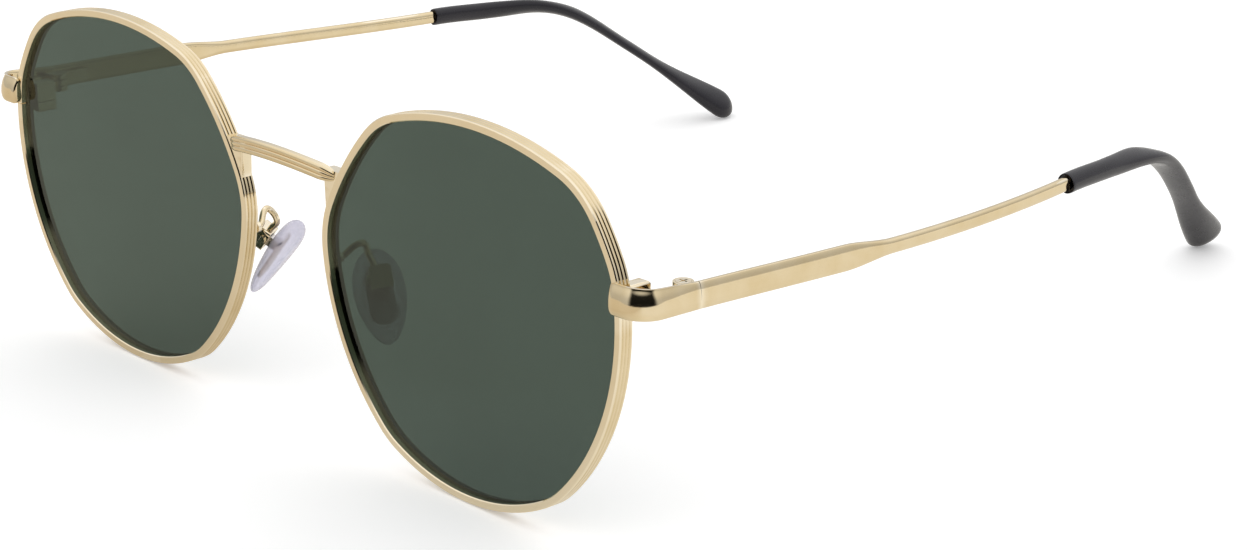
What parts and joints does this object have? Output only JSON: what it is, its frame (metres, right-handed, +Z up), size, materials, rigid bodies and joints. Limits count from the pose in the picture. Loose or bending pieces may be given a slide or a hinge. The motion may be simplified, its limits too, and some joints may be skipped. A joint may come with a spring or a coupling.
{
  "type": "sunglasses",
  "caption": "Thin metal-framed sunglasses with rounded-hexagon flat tinted lenses, a grooved bridge, folding temples with covered tips, and rocking nose pads on wire arms.",
  "frame": {"origin": "middle of the footprint on the table, at the bottom of the glasses as they rest on their rims and temple tips", "axes": "+Z up, +X towards the wearer's left temple, -Y the way the wearer looks, +Y along the open temples"},
  "size_m": [0.1416, 0.1402, 0.0505],
  "materials": {
    "gold_metal": "pale gold plating, polished",
    "lens_tint": "grey-green tinted lens, polished on both faces",
    "tip_acetate": "black, satin polish",
    "pad_clear": "clear soft silicone",
    "insert_metal": "bright plate inside the pad",
    "screw_metal": "gold-plated screws"
  },
  "bodies": {
    "front": {"bridge": "gold_metal", "left_rim": "gold_metal", "right_rim": "gold_metal", "left_lens": "lens_tint", "right_lens": "lens_tint", "left_end_piece": "gold_metal", "right_end_piece": "gold_metal", "left_rim_lock_upper": "gold_metal", "right_rim_lock_upper": "gold_metal", "left_rim_lock_lower": "gold_metal", "right_rim_lock_lower": "gold_metal", "left_front_hinge": "gold_metal", "right_front_hinge": "gold_metal", "left_pad_arm": "gold_metal", "right_pad_arm": "gold_metal", "left_pad_box": "gold_metal", "right_pad_box": "gold_metal", "rim_lock_screws": "screw_metal", "hinge_screws": "screw_metal", "pad_screws": "screw_metal"},
    "left_temple": {"left_temple_hinge": "gold_metal", "left_temple": "gold_metal", "left_temple_tip": "tip_acetate"},
    "right_temple": {"right_temple_hinge": "gold_metal", "right_temple": "gold_metal", "right_temple_tip": "tip_acetate"},
    "left_pad": {"left_pad_insert": "insert_metal", "left_nose_pad": "pad_clear"},
    "right_pad": {"right_pad_insert": "insert_metal", "right_nose_pad": "pad_clear"}
  },
  "joints": [
    {"name": "left_temple_fold", "type": "hinge", "parent": "front", "child": "left_temple", "pos_m": [0.0666, -0.0598, 0.03355], "axis": [0, 0.0536, 0.9986], "range_deg": [0, 84]},
    {"name": "right_temple_fold", "type": "hinge", "parent": "front", "child": "right_temple", "pos_m": [-0.0666, -0.0598, 0.03355], "axis": [0, -0.0536, -0.9986], "range_deg": [0, 78]},
    {"name": "left_pad_swivel", "type": "hinge", "parent": "front", "child": "left_pad", "pos_m": [0.01265, -0.0627, 0.02244], "axis": [-0.4849, -0.8742, -0.0254], "range_deg": [-8, 8]},
    {"name": "right_pad_swivel", "type": "hinge", "parent": "front", "child": "right_pad", "pos_m": [-0.01265, -0.0627, 0.02244], "axis": [0.4849, -0.8742, -0.0254], "range_deg": [-8, 8]}
  ]
}
